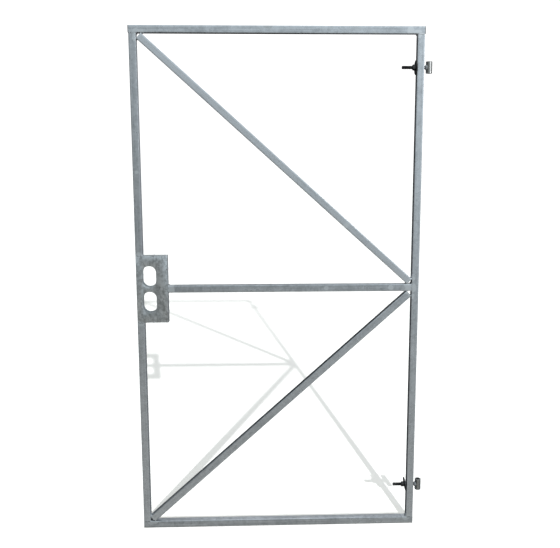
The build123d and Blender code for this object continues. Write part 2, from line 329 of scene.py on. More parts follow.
def place_piece(context, name, mesh, body, replaced, slot, finish=None):
    """Puts a mesh into the scene as a piece that rides on a body and stands for a node.

    It gets the finish of its slot, unless another finish is named.
    """
    piece = bpy.data.objects.new(name, mesh)
    context.scene.collection.objects.link(piece)
    piece.data.materials.clear()
    piece.data.materials.append(finish_for(finish or slot, context))
    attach(piece, body)
    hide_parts(replaced)
    return piece


def square_outline(side, corner, corner_steps=5, flat_steps=4):
    """Returns the points around a square with rounded corners, as pairs.

    Each corner is a quarter circle about a point that lies one radius in from both
    sides. A straight run, divided evenly, leads from it to the next corner.
    """
    reach = side / 2 - corner
    quarter = np.linspace(0, math.pi / 2, corner_steps)
    runs = []
    for turn in range(4):
        angle = turn * math.pi / 2
        centre = reach * math.sqrt(2) * np.array(
            [math.cos(angle + math.pi / 4), math.sin(angle + math.pi / 4)]
        )
        arc = centre + corner * np.stack([np.cos(quarter + angle), np.sin(quarter + angle)], 1)
        step = 2 * reach / (flat_steps + 1) * np.arange(1, flat_steps + 1)[:, None]
        ahead = np.array([[math.cos(angle + math.pi), math.sin(angle + math.pi)]])
        runs += [arc, arc[-1] + step * ahead]
    return np.vstack(runs)


def around_x(x, radius, turn, centre_z):
    """Returns rings of points about an axis along X, at the height centre_z.

    Each point lies at x, and at radius * (cos turn, sin turn) from the axis in Y and Z.
    """
    y = radius * np.cos(turn)
    z = centre_z + radius * np.sin(turn)
    return np.stack(np.broadcast_arrays(x, y, z), axis=-1)


def turned(profile, centre, axis, columns=96):
    """Returns a closed turned surface.

    A closed profile of pairs, distance along the axis and distance from it, is carried
    round the axis: point = centre + along * axis + radius * (cos t, sin t) across it.
    """
    axis = np.array(axis, float) / np.linalg.norm(axis)
    side = np.cross(axis, (0.0, 1.0, 0.0) if abs(axis[1]) < 0.9 else (1.0, 0.0, 0.0))
    side /= np.linalg.norm(side)
    other = np.cross(axis, side)
    angle = np.linspace(0, 2 * math.pi, columns, endpoint=False)
    spoke = np.cos(angle)[:, None] * side + np.sin(angle)[:, None] * other
    along, radius = np.array(profile, float).T
    rings = np.array(centre) + along[:, None, None] * axis + radius[:, None, None] * spoke
    return skin(rings, wrap=True)


# --- Tubes ----------------------------------------------------------------------------
def brace_run(node):
    """Returns the two end points of a square-cut brace.

    Its box is length * cos a + side * sin a wide and length * sin a + side * cos a tall,
    which is solved for the angle a by repeated substitution.
    """
    low, high = node_box(node)
    width, height = high[0] - low[0], high[2] - low[2]
    angle = math.atan2(height, width)
    for _ in range(60):
        angle = math.atan2(
            height - TUBE_SIDE * math.cos(angle), width - TUBE_SIDE * math.sin(angle)
        )
    inset = TUBE_SIDE / 2 * np.array([math.sin(angle), 0, math.cos(angle)])
    start, end = low + inset, high - inset
    if node == "upper_brace":
        start[2], end[2] = end[2], start[2]
    start[1] = end[1] = 0.0
    return start, end


def tube_run(node):
    """Returns the two end points of a brace, or of a tube that lies along X or Z."""
    if node in BRACES:
        return brace_run(node)
    low, high = node_box(node)
    long_axis = int(np.argmax(high - low))
    middle = (low + high) / 2
    start, end = middle.copy(), middle.copy()
    start[long_axis], end[long_axis] = low[long_axis], high[long_axis]
    return start, end


def brace_touches(node):
    """Returns where a brace's ends touch tubes: point, outward angle and brace's edges.

    At each touching corner the brace fills the quarter turn between two directions, one
    along the brace and one across its end.
    """
    start, end = brace_run(node)
    along = (end - start) / np.linalg.norm(end - start)
    across = np.array([-along[2], 0, along[0]]) * TUBE_SIDE / 2
    touches = []
    for point, inward, stile_normal in ((start, along, 0.0), (end, -along, math.pi)):
        for side in (-1, 1):
            corner = point + side * across
            if corner[0] != point[0] and (corner[0] < point[0]) == (stile_normal == 0.0):
                normal = stile_normal
            else:
                normal = -math.pi / 2 if corner[2] > point[2] else math.pi / 2
            edges = [inward, -side * across]
            touches.append((corner, normal, [math.atan2(e[2], e[0]) for e in edges]))
    return touches


def weld_spots():
    """Returns the middle of every weld and how far its cold zinc reaches, as a share."""
    openings = (TOP_OPENING_Z, BOTTOM_OPENING_Z)
    spots = [(x, z, 1.0) for x in (LATCH_FACE_X, HINGE_FACE_X) for z in openings]
    spots += [(case_high[0], MIDDLE_RAIL_Z, 1.8), (HINGE_FACE_X, MIDDLE_RAIL_Z, 1.2)]
    spots += [(LATCH_STILE_X, z, 0.9) for z in (case_high[2], case_low[2])]
    for node in BRACES:
        spots += [(corner[0], corner[2], 0.8) for corner, _, _ in brace_touches(node)]
    spots += [(HINGE_FACE_X + x, MIDDLE_RAIL_Z + z, share) for x, z, share in RUBBED_SPOTS]
    spots += [(HINGE_FACE_X - 0.025, top_rail_high[2] - 0.014, 0.9)]
    spots += [(LATCH_STILE_X, MIDDLE_RAIL_Z + 0.41, 0.45)]
    return np.array(spots)


def touch_up(points, reach):
    """Returns how much cold zinc covers each point, from 0 to 1.

    It is 1 up to a quarter of its reach from a weld, and fades to 0 at 1.25 times its
    reach with the smooth step 3 u^2 - 2 u^3.
    """
    spots = weld_spots()
    gap = np.hypot(points[:, None, 0] - spots[:, 0], points[:, None, 2] - spots[:, 1])
    near = np.clip(1.25 - gap / (reach * spots[:, 2]), 0, 1)
    return (near * near * (3 - 2 * near)).max(axis=1)


def tube_surface(start, end, settings, seed):
    """Returns a hollow square tube and, for each point, its place along the grain.

    The outline is carried from start to end. Its outer face is drawn in by a sum of
    seeded sine waves, sin(2 pi t / wave length + turns * angle + phase), which stands for
    slow runs in the zinc. The bore comes back from end to start, so the rings close.
    """
    rng = np.random.default_rng(seed)
    length = float(np.linalg.norm(end - start))
    along = (end - start) / length
    across = np.array([0.0, 1.0, 0.0])
    up = np.cross(along, across)
    outline = square_outline(TUBE_SIDE, settings.corner)
    angle = np.arctan2(outline[:, 1], outline[:, 0])
    bevel = settings.end_bevel
    count = max(int(length / settings.station), 4)
    stations = np.concatenate([[0.0], np.linspace(bevel, length - bevel, count), [length]])
    waves = rng.uniform(0.016, 0.13, 7)
    turns = rng.integers(0, 5, 7)
    phases = rng.uniform(0, 2 * math.pi, 7)
    weights = waves / waves.sum()
    swell = sum(
        w * np.sin(2 * math.pi * stations[:, None] / wave + n * angle + phase)
        for w, wave, n, phase in zip(weights, waves, turns, phases)
    )
    depth = settings.zinc_runs * (0.5 - 0.5 * swell)
    depth[[0, -1]] += bevel
    flat = outline * (1 - depth[:, :, None] / (TUBE_SIDE / 2))
    bore_side = TUBE_SIDE - 2 * settings.wall
    bore_outline = square_outline(bore_side, max(settings.corner - settings.wall, 0.0004))
    flat = np.concatenate([flat, np.broadcast_to(bore_outline, (2, *bore_outline.shape))])
    stations = np.concatenate([stations, [length, 0.0]])
    rings = start + stations[:, None, None] * along
    rings = rings + flat[..., :1] * across + flat[..., 1:] * up
    grain = np.concatenate(
        [np.broadcast_to(stations[:, None, None], (*flat.shape[:2], 1)), flat], axis=2
    )
    return skin(rings, wrap=True), grain.reshape(-1, 3) + rng.uniform(0, 9, 3)


def bore_holes(piece, heights):
    """Cuts the rods' round holes along X through the hinge stile at the given heights."""
    span = np.linspace(-1, 1, 2)[:, None, None] * TUBE_SIDE * np.array([1.0, 0, 0])
    turn = np.linspace(0, 2 * math.pi, 48, endpoint=False)
    circle = around_x(0 * turn, ROD_HOLE_RADIUS, turn, 0.0)
    drills = [skin(np.array([HINGE_STILE_X, 0, z]) + span + circle, wrap=False) for z in heights]
    drill = bpy.data.objects.new("drill", write_mesh("drill", drills))
    bpy.context.scene.collection.objects.link(drill)
    cut = piece.modifiers.new("holes", "BOOLEAN")
    cut.operation, cut.solver, cut.object = "DIFFERENCE", "EXACT", drill
    graph = bpy.context.evaluated_depsgraph_get()
    drilled = bpy.data.meshes.new_from_object(piece.evaluated_get(graph))
    piece.modifiers.remove(cut)
    piece.data = drilled
    bpy.data.objects.remove(drill)


# --- Weld beads -----------------------------------------------------------------------
def wedge_bead(corner, low, high, radius, settings, rng):
    """Returns one bead along Y in the wedge between two faces that meet at a corner.

    In a section the skin lies at radius * (s * cos(w / 2) / cos(a - middle) + 1 - s) from
    the corner, where w is the wedge's angle and s mixes a flat face with a round one.
    Along Y it swells with a sine whose ripples bend across the face like molten pools,
    and with a slower seeded sine, and it shrinks at both ends.
    """
    run = np.linspace(-1, 1, BEAD_STATIONS)[:, None]
    half = 0.44 * TUBE_SIDE
    middle, width = (low + high) / 2, high - low
    angle = np.linspace(low - 0.05, high + 0.05, 13)[None, :]
    lean = (angle - middle) / width
    face = 0.55 * math.cos(width / 2) / np.cos((angle - middle) * 0.96) + 0.45
    ripple = np.sin(2 * math.pi * run * half / settings.ripple_pitch - 7 * lean**2)
    slow = np.sin(rng.uniform(4, 7) * run + rng.uniform(0, 6.3) + 2.5 * lean)
    swell = 1 + settings.ripple_share * ripple + 0.10 * slow
    taper = 0.30 + 0.70 * (1 - run**6) ** 0.5
    reach = radius * face * swell * taper
    x = corner[0] + reach * np.cos(angle)
    z = corner[2] + reach * np.sin(angle)
    root = corner - 0.0008 * np.array([math.cos(middle), 0, math.sin(middle)])
    x = np.hstack([x, np.full((len(run), 1), root[0])])
    z = np.hstack([z, np.full((len(run), 1), root[2])])
    y = np.broadcast_to(run * half, x.shape)
    return skin(np.stack([x, y, z], axis=-1), wrap=False)


def seam_bead(centre, along, side, settings, rng):
    """Returns one low bead across a butt joint, on the front (side -1) or the back (1).

    Its height over the tube's face is height * (1 - v^2) * (1 + ripple), where v runs
    from -1 to 1 across it. Its middle line wanders with a slow seeded sine.
    """
    run = np.linspace(-1, 1, BEAD_STATIONS)[:, None]
    half = 0.43 * TUBE_SIDE
    v = np.linspace(-1, 1, 13)[None, :]
    ripple = np.sin(2 * math.pi * run * half / settings.ripple_pitch - 3.0 * v**2)
    slow = np.sin(rng.uniform(3, 6) * run + rng.uniform(0, 6.3))
    taper = (1 - run**6) ** 0.5
    height = settings.seam_height * (1 - v**2) * (1 + 0.30 * ripple + 0.2 * slow) * taper
    width = settings.seam_width / 2 * (1 + 0.12 * slow) * (0.35 + 0.65 * taper)
    wander = 0.0004 * np.sin(rng.uniform(5, 9) * run + rng.uniform(0, 6.3))
    across = np.hstack([v * width, np.broadcast_to([[0.6, -0.6]], (len(run), 2)) * width])
    lift = np.hstack([height, np.full((len(run), 2), -0.0006)]) - 0.00008
    lift[:, [0, 12]] = -0.0002
    along = np.array(along, float)
    sideways = np.array([along[2], 0, along[0]])
    rings = np.array(centre) + (run * half)[..., None] * along
    rings = rings + (across + wander)[..., None] * sideways
    rings[..., 1] += side * (TUBE_SIDE / 2 + lift)
    return skin(rings, wrap=False)


def tack_bead(centre, radius, side, rng):
    """Returns one small round tack weld that stands on the front or the back face.

    Its skin is a flattened dome, radius * (cos t, 0.32 * sin t), pushed in and out by
    two seeded sines around it.
    """
    lift = np.linspace(-0.25, math.pi / 2 - 0.02, 9)[:, None]
    turn = np.linspace(0, 2 * math.pi, 28, endpoint=False)[None, :]
    lumps = 1 + 0.13 * np.sin(3 * turn + rng.uniform(0, 6.3))
    lumps = lumps + 0.07 * np.sin(5 * turn + rng.uniform(0, 6.3))
    out = radius * np.cos(lift) * lumps
    x = centre[0] + out * np.cos(turn)
    z = centre[2] + out * np.sin(turn) * rng.uniform(0.8, 1.25)
    y = centre[1] + side * radius * 0.32 * np.sin(lift) * (1 + 0.1 * np.cos(4 * turn))
    return skin(np.stack([x, np.broadcast_to(y, x.shape), z], axis=-1), wrap=False)


def neck_bead(rod_z, eye_radius, rod_radius, leg):
    """Returns the ringed weld between an eye and its rod.

    Around the rod by angle t, one toe lies on the eye at x = -sqrt(eye^2 - (out cos t)^2)
    and the other on the rod. The skin between them bulges by a half sine and carries 22
    ripples. The ring closes inside the metal.
    """
    turn = np.linspace(0, 2 * math.pi, 132, endpoint=False)[None, :]
    share = np.linspace(0, 1, 9)[:, None]
    out = rod_radius + leg * (1 + 0.05 * np.sin(3 * turn + 1.0))
    eye_toe_x = -np.sqrt(eye_radius**2 - (out * np.cos(turn)) ** 2) + 0.0002
    rod_toe_x = -(eye_radius + leg * (1 + 0.08 * np.sin(2 * turn + 0.4)))
    bulge = np.sin(math.pi * share) * leg * (0.16 + 0.07 * np.sin(22 * turn - 4 * share))
    x = eye_toe_x + (rod_toe_x - eye_toe_x) * share - bulge * 0.7
    radius = out + (rod_radius - 0.0002 - out) * share + bulge * 0.7
    x = np.vstack([x, x[-1:], x[:1] + 0.0012])
    radius = np.vstack([radius, 0 * radius[:1] + rod_radius - 0.0009, radius[:1] - 0.0016])
    return skin(around_x(x, radius, turn, rod_z), wrap=True)


# --- Hinge parts ----------------------------------------------------------------------
def rod_surface(low_x, high_x, rod_z, radius, settings):
    """Returns a threaded rod along X.

    The radius at x and angle t is radius - depth * groove, where groove is the triangle
    wave of x / pitch + t / (2 pi) with a flat crest. It fades out next to the eye, and a
    cone bevels the tail.
    """
    count = int((high_x - low_x) / settings.thread_pitch * 9)
    x = np.linspace(low_x, high_x, count)[:, None]
    turn = np.linspace(0, 2 * math.pi, 44, endpoint=False)[None, :]
    phase = (x / settings.thread_pitch + turn / (2 * math.pi)) % 1.0
    groove = np.clip(1.18 - 1.3 * np.abs(2 * phase - 1), 0, 1)
    fade = np.clip((high_x - settings.plain_shank - x) / 0.004, 0, 1)
    out = radius - settings.thread_depth * groove * fade
    out = np.minimum(out, radius - 0.0012 + (x - low_x))
    return skin(around_x(x, out, turn, rod_z), wrap=False)


def nut_surface(low, high, settings):
    """Returns a hexagon nut along X whose flats face the front and the back.

    Around the axis the radius is flat / (|cos t|^p + |cos(t - 60)|^p + |cos(t + 60)|^p)
    ^ (1 / p), a hexagon with slightly rounded corners. Near each face it is cut down to
    a cone of 30 degrees. The bore comes back through the middle.
    """
    centre_z = (low[2] + high[2]) / 2
    flat = (high[1] - low[1]) / 2
    height = high[0] - low[0]
    turn = np.linspace(0, 2 * math.pi, 120, endpoint=False)[None, :]
    power = 70.0
    third = math.pi / 3
    hexagon = sum(np.abs(np.cos(turn + k * third)) ** power for k in (-1, 0, 1))
    hexagon = flat / hexagon ** (1 / power)
    near = np.concatenate([[0.0], np.geomspace(0.00008, 0.0016, 9)])
    depth = np.concatenate([near, [height / 2], height - near[::-1]])[:, None]
    edge = np.minimum(depth, height - depth)
    cone = 0.95 * flat + edge / math.tan(math.radians(30))
    softness = 0.00012
    outside = -softness * np.logaddexp(-hexagon / softness, -cone / softness)
    bore, bevel = settings.nut_bore / 2, 0.0007
    mouth = [(height, bore + bevel), (height - bevel, bore), (bevel, bore), (0.0, bore + bevel)]
    mouth = np.array(mouth)
    depth = np.vstack([depth, mouth[:, :1]])
    outside = np.vstack([outside, np.broadcast_to(mouth[:, 1:], (4, turn.size))])
    return skin(around_x(low[0] + depth, outside, turn, centre_z), wrap=True)


def washer_surface(node, settings):
    """Returns a flat washer with softened rims, leaning as its frame node leans.

    Its box is diameter * sin a + thickness * cos a thick, which is solved for the lean a
    by repeated substitution.
    """
    low, high = node_box(node)
    diameter, thickness = high[1] - low[1], settings.washer_thickness
    lean = 0.0
    for _ in range(30):
        share = (high[0] - low[0] - thickness * math.cos(lean)) / diameter
        lean = math.asin(min(max(share, 0.0), 1.0))
    outer, inner, half, rim = diameter / 2, settings.washer_bore / 2, thickness / 2, 0.0005
    arc = np.linspace(0, math.pi / 2, 5)
    profile = [(-half, inner + 0.0002), (-half, outer - 0.004)]
    profile += [(-half + rim * (1 - math.cos(a)), outer - rim + rim * math.sin(a)) for a in arc]
    profile += [(half - rim * (1 - math.sin(a)), outer - rim * (1 - math.cos(a))) for a in arc]
    profile += [(half, outer - 0.004), (half, inner + 0.0002), (half - 0.0002, inner)]
    profile += [(-half + 0.0002, inner)]
    return turned(profile, (low + high) / 2, (math.cos(lean), 0, math.sin(lean)))


def eye_surface(node, settings):
    """Returns a hinge eye: a thick tube about Z with bevelled rims, turned from a profile."""
    low, high = node_box(node)
    height, outer, inner = high[2] - low[2], high[0], settings.eye_bore / 2
    wall = np.linspace(0.0006, height - 0.0006, 25)
    profile = [(0.0005, inner), (0.0, inner + 0.0005), (0.0, outer - 0.0006)]
    profile += [(z, outer) for z in wall]
    profile += [(height, outer - 0.0006), (height, inner + 0.0005), (height - 0.0005, inner)]
    return turned(profile, (0.0, 0.0, low[2]), (0.0, 0.0, 1.0))


# --- Caps -----------------------------------------------------------------------------
def cap_surface(face_x, seat_x, centre_z, plug, settings, side):
    """Returns a square plate with a rounded, slightly crowned face, and its hollow plug.

    Square outlines are carried from the middle of the face over the rim to the seat,
    then along the outside of the plug and back along its inside.
    """
    inward = 1.0 if seat_x > face_x else -1.0
    crown, edge = settings.cap_crown, settings.cap_edge
    flat = side - 2 * edge
    steps = [(-crown * (1 - s * s) + crown, s * flat) for s in (0.1, 0.3, 0.5, 0.7, 0.85)]
    steps += [
        (crown + edge * (1 - math.cos(a)), side - 2 * edge * (1 - math.sin(a)))
        for a in np.linspace(0, math.pi / 2, 6)
    ]
    depth = abs(seat_x - face_x)
    steps += [(depth, side)]
    if plug:
        steps += [(depth, side - 0.0042), (depth + 0.0115, side - 0.0044)]
        steps += [(depth + 0.012, side - 0.005), (depth + 0.012, side - 0.0074)]
        steps += [(depth, side - 0.0074)]
    rings = []
    for along, width in steps:
        outline = square_outline(width, min(0.1 * side, 0.45 * width), 5, 2)
        x = np.full(len(outline), face_x + inward * along)
        rings.append(np.stack([x, outline[:, 0], centre_z + outline[:, 1]], axis=-1))
    return skin(np.array(rings), wrap=False)


def clean_copy(node, edge):
    """Returns a merged copy of a frame node's mesh with its sharp edges rounded off."""
    shape = bmesh.new()
    shape.from_mesh(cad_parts[node].data)
    bmesh.ops.remove_doubles(shape, verts=shape.verts, dist=1e-6)
    bmesh.ops.dissolve_limit(
        shape, angle_limit=math.radians(1.0), verts=shape.verts, edges=shape.edges
    )
    mesh = bpy.data.meshes.new(node)
    shape.to_mesh(mesh)
    shape.free()
    if edge > 0:
        holder = bpy.data.objects.new("holder", mesh)
        bpy.context.scene.collection.objects.link(holder)
        bevel = holder.modifiers.new("edges", "BEVEL")
        bevel.width, bevel.segments = edge, 2
        bevel.limit_method, bevel.angle_limit = "ANGLE", math.radians(40)
        graph = bpy.context.evaluated_depsgraph_get()
        mesh = bpy.data.meshes.new_from_object(holder.evaluated_get(graph))
        bpy.data.objects.remove(holder)
    return soften(mesh)


# --- Finishes -------------------------------------------------------------------------
class NodeBench:
    """A node tree under construction, with short calls for the nodes it uses."""

    def __init__(self, tree):
        """Starts with no nodes."""
        self.tree = tree
        tree.nodes.clear()

    def fill(self, socket, value):
        """Links an input to a socket, or gives it a number or a colour without alpha."""
        if isinstance(value, bpy.types.NodeSocket):
            self.tree.links.new(value, socket)
        elif socket.type == "RGBA":
            socket.default_value = (*value, 1.0)
        else:
            socket.default_value = value

    def node(self, kind, inputs, **settings):
        """Adds a node, gives its settings and fills its inputs."""
        node = self.tree.nodes.new(kind)
        for key, value in settings.items():
            setattr(node, key, value)
        for key, value in inputs.items():
            self.fill(node.inputs[key], value)
        return node

    def step(self, value, low, high, to_low=0.0, to_high=1.0):
        """Returns the value carried smoothly from one range to another and held there."""
        values = {"Value": value, "From Min": low, "From Max": high}
        values.update({"To Min": to_low, "To Max": to_high})
        return self.node("ShaderNodeMapRange", values, interpolation_type="SMOOTHSTEP").outputs[0]

    def maths(self, operation, *values):
        """Returns the result of one sum or comparison."""
        node = self.node("ShaderNodeMath", dict(enumerate(values)), operation=operation)
        return node.outputs["Value"]

    def times(self, value, share):
        """Returns the value times a number or another value."""
        return self.maths("MULTIPLY", value, share)

    def plus(self, base, value, share=1.0):
        """Returns the base plus a share of the value."""
        return self.maths("MULTIPLY_ADD", value, share, base)

    def mix(self, factor, first, second):
        """Returns a colour between two colours."""
        inputs = {0: factor, 6: first, 7: second}
        return self.node("ShaderNodeMix", inputs, data_type="RGBA").outputs[2]


class Finish(NodeBench):
    """A material under construction, with the patterns its coats are made of."""

    def __init__(self, name):
        """Starts a material with one shader."""
        self.material = bpy.data.materials.new(name)
        self.material.use_nodes = True
        super().__init__(self.material.node_tree)
        self.shader = self.node("ShaderNodeBsdfPrincipled", {})
        self.node("ShaderNodeOutputMaterial", {"Surface": self.shader.outputs["BSDF"]})

    def place(self):
        """Returns the point on the object, in metres."""
        return self.node("ShaderNodeTexCoord", {}).outputs["Object"]

    def grain(self):
        """Returns the point in the tube's own directions: along, across and up."""
        return self.node("ShaderNodeAttribute", {}, attribute_name="grain").outputs["Vector"]

    def mark(self, name):
        """Returns a number stored on the piece's points."""
        return self.node("ShaderNodeAttribute", {}, attribute_name=name).outputs["Fac"]

    def stretch(self, vector, scale):
        """Returns the vector scaled along each axis."""
        return self.node("ShaderNodeMapping", {"Vector": vector, "Scale": scale}).outputs["Vector"]

    def noise(self, vector, scale, detail=4.0, roughness=0.55, distortion=0.0):
        """Returns soft noise from 0 to 1."""
        values = {"Vector": vector, "Scale": scale, "Detail": detail}
        values.update({"Roughness": roughness, "Distortion": distortion})
        return self.node("ShaderNodeTexNoise", values).outputs["Fac"]

    def crystals(self, vector, scale):
        """Returns a random tone for each crystal of the zinc, with ragged borders."""
        values = {"Vector": vector, "Scale": scale * 1.7, "Detail": 2.0}
        warp = self.node("ShaderNodeTexNoise", values).outputs["Color"]
        reach = (0.7 / scale,) * 3
        values = {0: warp, 1: reach, 2: vector}
        shift = self.node("ShaderNodeVectorMath", values, operation="MULTIPLY_ADD")
        values = {"Vector": shift.outputs["Vector"], "Scale": scale}
        cells = self.node("ShaderNodeTexVoronoi", values).outputs["Color"]
        return self.node("ShaderNodeSeparateColor", {"Color": cells}).outputs["Red"]

    def cover(self, under, over, amount, share):
        """Returns a colour with another laid over it by a share of the amount."""
        return self.mix(self.times(amount, share), under, over)

    def relief(self, height, distance, strength, normal=None):
        """Returns a normal bent by a height."""
        values = {"Height": height, "Distance": distance, "Strength": strength}
        if normal is not None:
            values["Normal"] = normal
        return self.node("ShaderNodeBump", values).outputs["Normal"]

    def wire(self, **inputs):
        """Fills the shader's inputs and returns the material."""
        for name, value in inputs.items():
            self.fill(self.shader.inputs[name.replace("_", " ")], value)
        return self.material


def zinc_finish(name, settings, dull, bright, on_tube, streak_scale, tones):
    """Returns a hot-dip zinc coat: cloudy tones, lengthwise streaks, crystals and pits.

    On a tube its patterns follow the tube's own directions, and the tube's own tone and
    the cold zinc brushed over its welds are added.
    """
    finish = Finish(name)
    vector = finish.grain() if on_tube else finish.place()
    clouds = finish.noise(vector, 13.0, 5.0, 0.62, 0.3)
    streaks = finish.noise(finish.stretch(vector, streak_scale), 1.0, 5.0, 0.62, 0.25)
    cells = finish.crystals(vector, 95.0)
    tone = finish.plus(finish.times(clouds, 0.75), streaks, 1.15)
    tone = finish.plus(tone, cells, 0.24)
    tone = finish.plus(tone, finish.crystals(vector, 260.0), 0.13)
    if on_tube:
        tone = finish.plus(tone, finish.mark("stock_tone"))
    tone = finish.step(tone, *tones)
    colour = finish.mix(tone, dull, bright)
    bloom = finish.step(finish.noise(vector, 31.0, 6.0, 0.68, 0.6), 0.52, 0.70)
    bloom = finish.times(bloom, finish.step(clouds, 0.40, 0.62))
    bloom = finish.times(bloom, 0.55)
    colour = finish.mix(bloom, colour, settings.zinc_bloom)
    pits = finish.step(finish.noise(vector, 420.0, 3.0, 0.6), 0.63, 0.74)
    colour = finish.cover(colour, [0.4 * c for c in dull], pits, 0.6)
    rough = finish.step(tone, 0.0, 1.0, 0.38, 0.24)
    rough = finish.plus(rough, bloom, 0.30)
    rough = finish.plus(rough, cells, 0.07)
    if on_tube:
        brushed = finish.noise(vector, 60.0, 4.0, 0.7, 0.4)
        patches = finish.step(finish.plus(finish.mark("touch_up"), brushed, 0.75), 0.86, 1.05)
        colour = finish.cover(colour, settings.cold_zinc, patches, 0.85)
        rough = finish.plus(rough, patches, 0.10)
    height = finish.plus(finish.times(streaks, 0.8), finish.noise(vector, 150.0, 5.0, 0.6))
    normal = finish.relief(height, 0.00022, 0.55)
    normal = finish.relief(finish.noise(vector, 900.0, 2.0, 0.5), 0.00003, 0.45, normal)
    return finish, {"Base_Color": colour, "Roughness": rough, "Normal": normal, "Metallic": 0.92}


def tube_finish(settings):
    """Returns the zinc coat of the tubes."""
    tones = (settings.zinc_dull, settings.zinc_bright)
    coat = (True, (3.0, 220.0, 220.0), (0.46, 1.64))
    finish, inputs = zinc_finish("zinc_on_tube", settings, *tones, *coat)
    return finish.wire(**inputs)


def sheet_finish(settings):
    """Returns the duller zinc coat of the lock case, with small bright specks."""
    tones = (settings.sheet_dull, settings.sheet_bright)
    coat = (False, (110.0, 110.0, 70.0), (0.74, 1.38))
    finish, inputs = zinc_finish("zinc_on_sheet", settings, *tones, *coat)
    specks = finish.step(finish.noise(finish.place(), 310.0, 2.0, 0.5), 0.69, 0.73)
    inputs["Base_Color"] = finish.cover(inputs["Base_Color"], settings.cold_zinc, specks, 0.8)
    return finish.wire(**inputs)


def bead_finish(settings):
    """Returns bright zinc over weld beads, with dark blotches that are partly soot and partly
    painted shade of the inner corners.
    """
    finish = Finish("zinc_on_weld")
    place = finish.place()
    blotch = finish.noise(place, 210.0, 5.0, 0.65, 0.5)
    fine = finish.noise(place, 900.0, 3.0, 0.6)
    # Dark blotches: partly soot, partly painted shade laid over the corner beads.
    soot_and_shade = finish.step(blotch, 0.44, 0.62)
    colour = finish.cover(settings.bead, settings.bead_soot_and_shade, soot_and_shade, 0.75)
    warm = finish.step(finish.noise(place, 70.0, 3.0, 0.5), 0.55, 0.75)
    colour = finish.cover(colour, settings.bead_scorch, warm, 0.25)
    rough = finish.step(blotch, 0.3, 0.7, 0.26, 0.48)
    normal = finish.relief(finish.plus(blotch, fine, 0.35), 0.0004, 0.6)
    return finish.wire(Base_Color=colour, Roughness=rough, Normal=normal, Metallic=0.85)


def eye_finish(settings):
    """Returns turned steel with fine rings about Z and faint oil spots."""
    finish = Finish("turned_steel")
    place = finish.place()
    rings = finish.noise(finish.stretch(place, (40.0, 40.0, 5200.0)), 1.0, 3.0, 0.6)
    wide = finish.noise(finish.stretch(place, (25.0, 25.0, 420.0)), 1.0, 3.0, 0.55)
    spots = finish.step(finish.noise(place, 130.0, 5.0, 0.65, 0.4), 0.54, 0.72)
    tone = finish.plus(finish.times(wide, 0.65), rings, 0.35)
    light = settings.eye
    colour = finish.mix(finish.step(tone, 0.35, 0.65), [0.62 * c for c in light], light)
    colour = finish.cover(colour, settings.eye_oil, spots, 0.45)
    rough = finish.plus(finish.step(tone, 0.3, 0.7, 0.33, 0.20), spots, 0.18)
    normal = finish.relief(rings, 0.00004, 0.5)
    return finish.wire(Base_Color=colour, Roughness=rough, Normal=normal, Metallic=1.0)


def fastener_finish(settings):
    """Returns dark oxidised steel, rubbed lighter in places, with a little rust dust. Its
    near-black tone is also painted shade of the hinge stile's shadow.
    """
    finish = Finish("dark_fastener_steel_and_painted_shade")
    place = finish.place()
    cloud = finish.noise(place, 120.0, 5.0, 0.62, 0.4)
    fine = finish.noise(place, 1100.0, 3.0, 0.6)
    worn = finish.step(finish.plus(cloud, fine, 0.35), 0.62, 0.86)
    # The near-black base is partly painted shade of the hinge stile's shadow over the fasteners.
    colour = finish.mix(worn, settings.fastener_with_shade, settings.fastener_worn)
    rust = finish.step(finish.noise(place, 260.0, 4.0, 0.7, 0.8), 0.60, 0.74)
    colour = finish.cover(colour, settings.rust, rust, 0.35)
    rough = finish.plus(finish.step(cloud, 0.3, 0.7, 0.34, 0.52), rust, 0.25)
    normal = finish.relief(finish.plus(cloud, fine, 0.5), 0.00012, 0.5)
    return finish.wire(Base_Color=colour, Roughness=rough, Normal=normal, Metallic=0.8)


def plastic_finish(settings):
    """Returns moulded black plastic with a fine grain and a few scuffs."""
    finish = Finish("black_cap_plastic")
    place = finish.place()
    grain = finish.noise(place, 2600.0, 2.0, 0.5)
    drawn = finish.stretch(place, (60.0, 400.0, 110.0))
    scuff = finish.step(finish.noise(drawn, 1.0, 4.0, 0.7), 0.58, 0.72)
    colour = finish.cover(settings.plastic, settings.plastic_scuff, scuff, 0.6)
    rough = finish.plus(finish.step(grain, 0.3, 0.7, 0.30, 0.42), scuff, 0.2)
    normal = finish.relief(grain, 0.00004, 0.5)
    return finish.wire(Base_Color=colour, Roughness=rough, Normal=normal, Specular_IOR_Level=0.5)


FINISHES = {
    "galvanised_tube": tube_finish,
    "galvanised_sheet": sheet_finish,
    "weld_bead": bead_finish,
    "eye_steel": eye_finish,
    "fastener_steel": fastener_finish,
    "cap_plastic": plastic_finish,
}
made_finishes = {}


def finish_for(slot, context):
    """Returns the material of a slot, made once."""
    if slot not in made_finishes:
        made_finishes[slot] = FINISHES[slot](context.scene.gate_finish)
    return made_finishes[slot]


